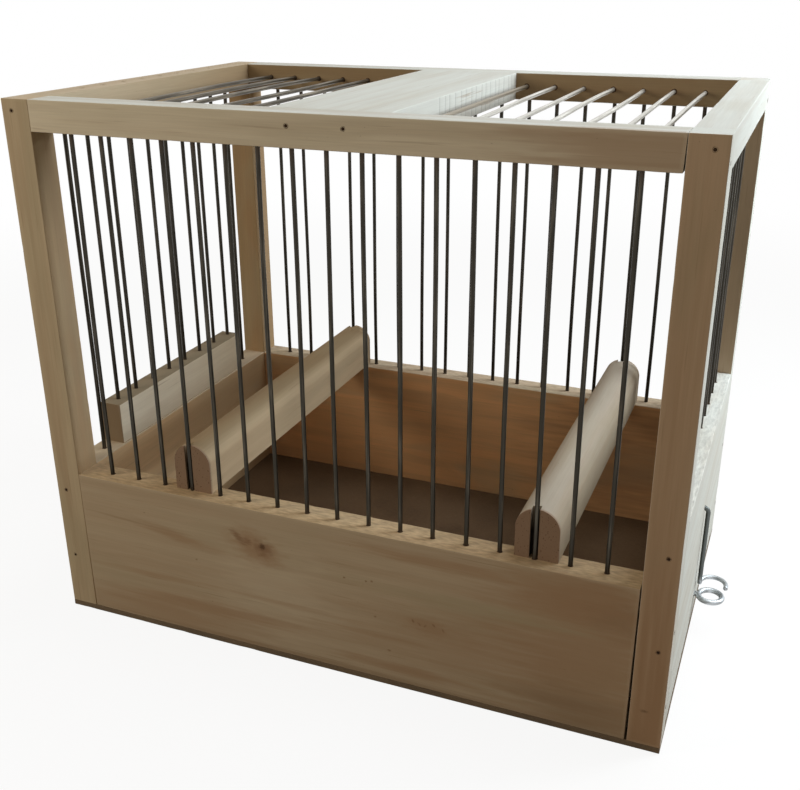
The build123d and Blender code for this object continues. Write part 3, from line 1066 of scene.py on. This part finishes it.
def straight(start, end):
    """Points along a straight run, without its end."""
    count = max(2, round((end - start).length / RUN_STEP))
    return [start.lerp(end, i / count) for i in range(count)]


class CAGE_OT_posts(bpy.types.Operator):
    """Corner posts"""

    bl_idname = "cage.posts"
    bl_label = "Posts"

    def execute(self, context):
        # Painted shade on the posts' insides and on the right front post's front.
        front_left = wood_finish("front_left_post_wood", "plain", front="cream", inside="hazel")
        front_right = wood_finish("front_right_post_wood", "pale", front="ruddy", marks=POST_MARKS)
        timber_piece("post_front_left", front_left)
        timber_piece("post_front_right", front_right)
        timber_piece("post_back_left", wood_finish("back_left_post_wood", "plain", inside="aged"))
        timber_piece("post_back_right", wood_finish("back_right_post_wood", "pale", 0.35, inside="plain"))
        return {"FINISHED"}


class CAGE_OT_rails(bpy.types.Operator):
    """Top rails between the posts"""

    bl_idname = "cage.rails"
    bl_label = "Rails"

    def execute(self, context):
        # Painted light on the left rail's inside, turning to painted shade at its back; painted shade on
        # the back rail's inside and at the front rail's right end.
        front = wood_finish("front_rail_wood", "pale", 0.5, front="fair", marks=RAIL_MARKS)
        left = wood_finish("left_rail_wood", "plain", 0.6, inside="cream", far="dusky")
        timber_piece("front_rail", front, gaps=(TIGHT, RAIL_CRACK))
        timber_piece("right_rail", wood_finish("pale_wood", "pale", 0.35))
        timber_piece("left_rail", left)
        timber_piece("back_rail", wood_finish("back_rail_wood", "pale", 0.6, inside="dusky"))
        return {"FINISHED"}


class CAGE_OT_boards(bpy.types.Operator):
    """Lower boards and panels"""

    bl_idname = "cage.boards"
    bl_label = "Boards and panels"

    def execute(self, context):
        # Painted shade on the front board's top and at its right end; painted warm bounce light on the back
        # board's inside, with painted shade at its right; painted light on the left panel's inside, turning
        # to painted shade at its back.
        front = wood_finish("front_board_wood", "plain", 0.6, top="hazel", torn=0.5, marks=BOARD_MARKS)
        right = wood_finish("right_panel_wood", "pale", 0.35, torn=0.4)
        back = wood_finish(
            "back_board_wood", "plain", inside="tan", torn=0.5, marks=BACK_SHADE_MARKS, marked="back_board"
        )
        left = wood_finish("left_panel_wood", "plain", 0.5, inside="warm", far="aged")
        timber_piece("front_board", front, gaps=(HAIRLINE, BOARD_CRACK))
        timber_piece("right_panel", right, gaps=(PANEL_SEAM, PANEL_SEAM))
        timber_piece("back_board", back)
        timber_piece("left_panel", left)
        return {"FINISHED"}


class CAGE_OT_roof_board(bpy.types.Operator):
    """Plank across the roof, with saw lines on its right edge"""

    bl_idname = "cage.roof_board"
    bl_label = "Roof board"

    def execute(self, context):
        chance = random.Random("saw lines")
        low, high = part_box("roof_board")
        reach = high.y - low.y
        stray = SAW_WANDER * SAW_PITCH
        cuts = [c + chance.uniform(-1.0, 1.0) * stray for c in stations(reach, SAW_PITCH)]
        shown = [c for c in cuts if SAW_START < c / reach < SAW_STOP]
        timber_piece("roof_board", wood_finish("pale_wood", "pale", 0.35), grooves=shown)
        return {"FINISHED"}


class CAGE_OT_base(bpy.types.Operator):
    """Hardboard base plate"""

    bl_idname = "cage.base"
    bl_label = "Base plate"

    def execute(self, context):
        timber_piece("base_plate", hardboard_finish("base_hardboard", "base_sheet"))
        return {"FINISHED"}


class CAGE_OT_tray(bpy.types.Operator):
    """Sliding tray: hardboard floor, its front batten and their nails"""

    bl_idname = "cage.tray"
    bl_label = "Tray"

    def execute(self, context):
        timber_piece("tray_floor", hardboard_finish("tray_hardboard", "hardboard"))
        timber_piece("tray_front", wood_finish("pale_wood", "pale", 0.35))
        nail_group("tray_nails", -Z)
        return {"FINISHED"}


class CAGE_OT_door(bpy.types.Operator):
    """Lifting door: bar and bars"""

    bl_idname = "cage.door"
    bl_label = "Lifting door"

    def execute(self, context):
        # Painted light on the door bar's inside, fading towards the back, and painted shade on its top.
        wood = wood_finish(
            "door_bar_wood", "cream", 0.3, inside="fair", far="cream", top="grimy", ends="door_end"
        )
        timber_piece("door_bar", wood)
        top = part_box("door_bar")[1].z
        seats = (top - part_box("door_wires")[0].z, 0.0)
        bar_group("door_wires", bar_finish("bar_steel", "bar", "bar_bright"), 0.0, seats)
        bar_rims("door_bar_rims", ["door_wires"], [(Z, top)], BAR_RIM)
        return {"FINISHED"}


class CAGE_OT_perches(bpy.types.Operator):
    """Round-topped perches"""

    bl_idname = "cage.perches"
    bl_label = "Perches"

    def execute(self, context):
        # The perches' tops are painted: shade on the left perch's, light on the right perch's.
        tones = {"perch_left": ("perch", "dusky"), "perch_right": ("grey_perch", "grey_top")}
        for node, (tone, top) in tones.items():
            finish = wood_finish(f"{node}_wood", tone, 0.5, top=top, ends="end_grain")
            shade_kerfs(timber_piece(node, finish), node)
        return {"FINISHED"}


class CAGE_OT_bars(bpy.types.Operator):
    """Fixed bars of the front, back, sides and roof"""

    bl_idname = "cage.bars"
    bl_label = "Bars"

    def execute(self, context):
        rail_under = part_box("front_rail")[0].z
        board_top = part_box("front_board")[1].z
        panel_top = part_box("right_panel")[1].z
        dark = bar_finish("bar_steel", "bar", "bar_bright")
        low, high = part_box("front_wires")
        seats = (board_top - low.z, high.z - rail_under)
        upright = ["front_wires", "back_wires", "left_wire_front", "left_wire_back"]
        for node in [*upright, "right_wires"]:
            bar_group(node, dark, BAR_BOW, seats)
        bar_rims("bar_rims", upright, [(Z, board_top), (-Z, -rail_under)], BAR_RIM)
        bar_rims("side_bar_rims", ["right_wires"], [(Z, panel_top), (-Z, -rail_under)], BAR_RIM)

        front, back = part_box("front_rail")[1].y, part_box("back_rail")[0].y
        low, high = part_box("roof_wires_left")
        seats = (front - low.y, high.y - back)
        # The roof's bars are painted lighter than the uprights, as sheen of the light from above; the first
        # bar of the right, beside the plank, is painted darker, as its shade.
        dull = bar_finish("dull_bar_steel", "bar_bright", "bar_dull")
        sheen = bar_finish("bright_bar_steel", "bar_grey", "bar_silver")
        roof = ["roof_wires_left", "roof_wires_right"]
        bar_group(roof[0], dull, ROOF_BAR_BOW, seats)
        bar_group(roof[1], sheen, ROOF_BAR_BOW, seats, dull_bars=(0,))
        bar_rims("roof_bar_rims", roof, [(Y, front), (-Y, -back)], ROOF_BAR_RIM)
        return {"FINISHED"}


class CAGE_OT_nails(bpy.types.Operator):
    """Nails of the frame"""

    bl_idname = "cage.nails"
    bl_label = "Nails"

    def execute(self, context):
        low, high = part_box("post_front_left")[0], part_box("post_back_right")[1]
        faces = {
            "front_nails": (-Y, -low.y),
            "back_nails": (Y, high.y),
            "left_nails": (-X, -low.x),
            "right_nails": (X, high.x),
        }
        for node, (outward, face) in faces.items():
            nail_group(node, outward)
            nail_rims(node, outward, face)
        nail_group("base_nails", -Z)
        return {"FINISHED"}


class CAGE_OT_pull_eye(bpy.types.Operator):
    """Screw eye of the tray"""

    bl_idname = "cage.pull_eye"
    bl_label = "Pull eye"

    def execute(self, context):
        low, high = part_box("pull_eye")
        outer = high.y - low.y
        ring = (outer - EYE_WIRE) / 2
        hub = Vector((high.x - outer / 2, (low.y + high.y) / 2, (low.z + high.z) / 2))
        root = Vector((low.x, hub.y, hub.z))
        neck = hub - X * (ring + EYE_NECK * EYE_WIRE)
        start = Vector((math.cos(EYE_START), math.sin(EYE_START), 0.0))
        heading = Z.cross(start)
        bend = arc(hub, start * ring, heading * ring, EYE_TURN, EYE_STEPS)
        pull = EYE_PULL * (bend[0] - neck).length
        join = interpolate_bezier(neck, neck + X * pull, bend[0] - heading * pull, bend[0], EYE_JOIN)
        bm = blank_mesh()
        path = [*straight(root, neck), *join[:-1], *bend]
        tube(bm, path, EYE_WIRE / 2, HARDWARE_SIDES, EYE_GRAIN)
        settle(bm, "pull_eye_wire", "pull_eye", zinc_finish())
        return {"FINISHED"}


class CAGE_OT_tray_hook(bpy.types.Operator):
    """Bent wire hook on the right panel"""

    bl_idname = "cage.tray_hook"
    bl_label = "Tray hook"

    def execute(self, context):
        low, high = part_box("tray_hook")
        radius = HOOK_WIRE / 2
        pivot, bight = high.z - radius, low.z + radius
        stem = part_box("right_panel")[1].x + HOOK_STAND_OFF + radius
        loop = (high.x - radius - stem) / 2
        leg = high.y - radius - loop
        root = Vector((low.x, 0.0, pivot))
        shoulder = Vector((stem - HOOK_BEND, 0.0, pivot - HOOK_BEND))
        foot = Vector((stem, HOOK_BEND, bight + HOOK_BEND))
        hub = Vector((stem + loop, leg, bight))
        path = straight(root, shoulder + Z * HOOK_BEND)
        path += arc(shoulder, Z * HOOK_BEND, X * HOOK_BEND, QUARTER, HOOK_STEPS)
        path += straight(path[-1] - Z * RUN_STEP / 3, foot - Y * HOOK_BEND)
        path += arc(foot, -Y * HOOK_BEND, -Z * HOOK_BEND, QUARTER, HOOK_STEPS)
        path += arc(hub, -X * loop, Y * loop, math.pi, HOOK_LOOP_STEPS)
        tip = path[-1] - Y * leg
        path += [path[-1].lerp(tip, 0.5), tip]
        # The stem, from just above the bight, is painted dark, as its shade.
        tarnish = [min(1.0, max(0.0, (p.z - bight) / (2 * HOOK_BEND))) for p in path]
        bm = blank_mesh()
        tube(bm, path, radius, HARDWARE_SIDES, HOOK_GRAIN, tarnish)
        settle(bm, "tray_hook_wire", "tray_hook", zinc_finish())
        return {"FINISHED"}


def hang_lamp(stage, name, place, size):
    """A square lamp that faces the middle of the cage."""
    lamp = bpy.data.lights.new(name, "AREA")
    lamp.size = size
    lamp.energy = getattr(stage, f"{name}_power")
    lamp.color = getattr(stage, f"{name}_tone")
    holder = bpy.data.objects.new(name, lamp)
    holder.location = place
    middle = (cad_box[0] + cad_box[1]) / 2
    holder.rotation_euler = (middle - Vector(place)).to_track_quat("-Z", "Y").to_euler()
    bpy.context.scene.collection.objects.link(holder)


def lay_floor(stage):
    """A floor that shows white with the object's shadow, and throws back only a little warm light."""
    half = FLOOR_SIZE / 2
    bm = bmesh.new()
    corners = [(-half, -half), (half, -half), (half, half), (-half, half)]
    bm.faces.new([bm.verts.new((x, y, -FLOOR_DROP)) for x, y in corners])
    mesh = bpy.data.meshes.new("floor")
    bm.to_mesh(mesh)
    bm.free()
    floor = bpy.data.objects.new("floor", mesh)
    bpy.context.scene.collection.objects.link(floor)

    paint = Finish("pale_floor")
    seen = paint.seen_rays()
    place = paint.step("ShaderNodeNewGeometry", {}, "Position")
    away = paint.vector("LENGTH", place, output="Value")
    share = paint.spread(paint.rise(away, *FLOOR_FADE), FLOOR_GLOW, 1.0)
    paint.dress(Base_Color=paint.tint(seen, stage.floor, WHITE), Roughness=1.0, Specular_IOR_Level=0.0)
    glow = paint.step("ShaderNodeEmission", {"Color": WHITE})
    lit = {0: paint.times(seen, share), 1: paint.shader.outputs[0], 2: glow}
    both = paint.step("ShaderNodeMixShader", lit)
    paint.feed(paint.tree.nodes["Material Output"].inputs["Surface"], both)
    mesh.materials.append(paint.made)


class CAGE_OT_stage(bpy.types.Operator):
    """Floor, lamps, world and camera"""

    bl_idname = "cage.stage"
    bl_label = "Stage"

    def execute(self, context):
        stage = context.scene.cage_stage
        lay_floor(stage)
        room = Finish("plain_room", "worlds", "Background")
        tone = room.tint(room.seen_rays(), stage.ambient, WHITE)
        context.scene.world = room.dress(Color=tone, Strength=1.0)
        for name, (place, size) in LAMPS.items():
            hang_lamp(stage, name, place, size)

        lens = bpy.data.cameras.new("camera")
        lens.sensor_width = SENSOR
        lens.lens = PHOTO_FOCUS / PHOTO_WIDTH * SENSOR
        camera = bpy.data.objects.new("camera", lens)
        camera.location = stage.camera_place
        turn = Matrix.Rotation(stage.camera_turn, 3, "Z")
        tilt = Matrix.Rotation(QUARTER - stage.camera_dip, 3, "X")
        roll = Matrix.Rotation(stage.camera_roll, 3, "Z")
        camera.rotation_euler = (turn @ tilt @ roll).to_euler()
        context.scene.collection.objects.link(camera)
        context.scene.camera = camera
        context.scene.view_settings.view_transform = "Standard"
        return {"FINISHED"}


GROUPS = {"cage_timber": CageTimber, "cage_metal": CageMetal, "cage_stage": CageStage}
OPERATORS = (
    CAGE_OT_posts,
    CAGE_OT_rails,
    CAGE_OT_boards,
    CAGE_OT_roof_board,
    CAGE_OT_base,
    CAGE_OT_tray,
    CAGE_OT_door,
    CAGE_OT_perches,
    CAGE_OT_bars,
    CAGE_OT_nails,
    CAGE_OT_pull_eye,
    CAGE_OT_tray_hook,
    CAGE_OT_stage,
)


class CAGE_PT_pieces(bpy.types.Panel):
    """Settings and pieces of the cage"""

    bl_idname = "CAGE_PT_pieces"
    bl_label = "Songbird Cage"
    bl_space_type = "VIEW_3D"
    bl_region_type = "UI"
    bl_category = "Cage"

    def draw(self, context):
        for group in GROUPS:
            settings = getattr(context.scene, group)
            box = self.layout.box()
            for name in settings.__annotations__:
                box.prop(settings, name)
        for operator in OPERATORS:
            self.layout.operator(operator.bl_idname)


CLASSES = (*GROUPS.values(), *OPERATORS, CAGE_PT_pieces)


def register():
    for kind in CLASSES:
        bpy.utils.register_class(kind)
    for name, group in GROUPS.items():
        setattr(bpy.types.Scene, name, PointerProperty(type=group))


def unregister():
    for name in GROUPS:
        delattr(bpy.types.Scene, name)
    for kind in reversed(CLASSES):
        bpy.utils.unregister_class(kind)


def main():
    register()
    for operator in OPERATORS:
        group, name = operator.bl_idname.split(".")
        getattr(getattr(bpy.ops, group), name)()


if __name__ == "__main__":
    main()
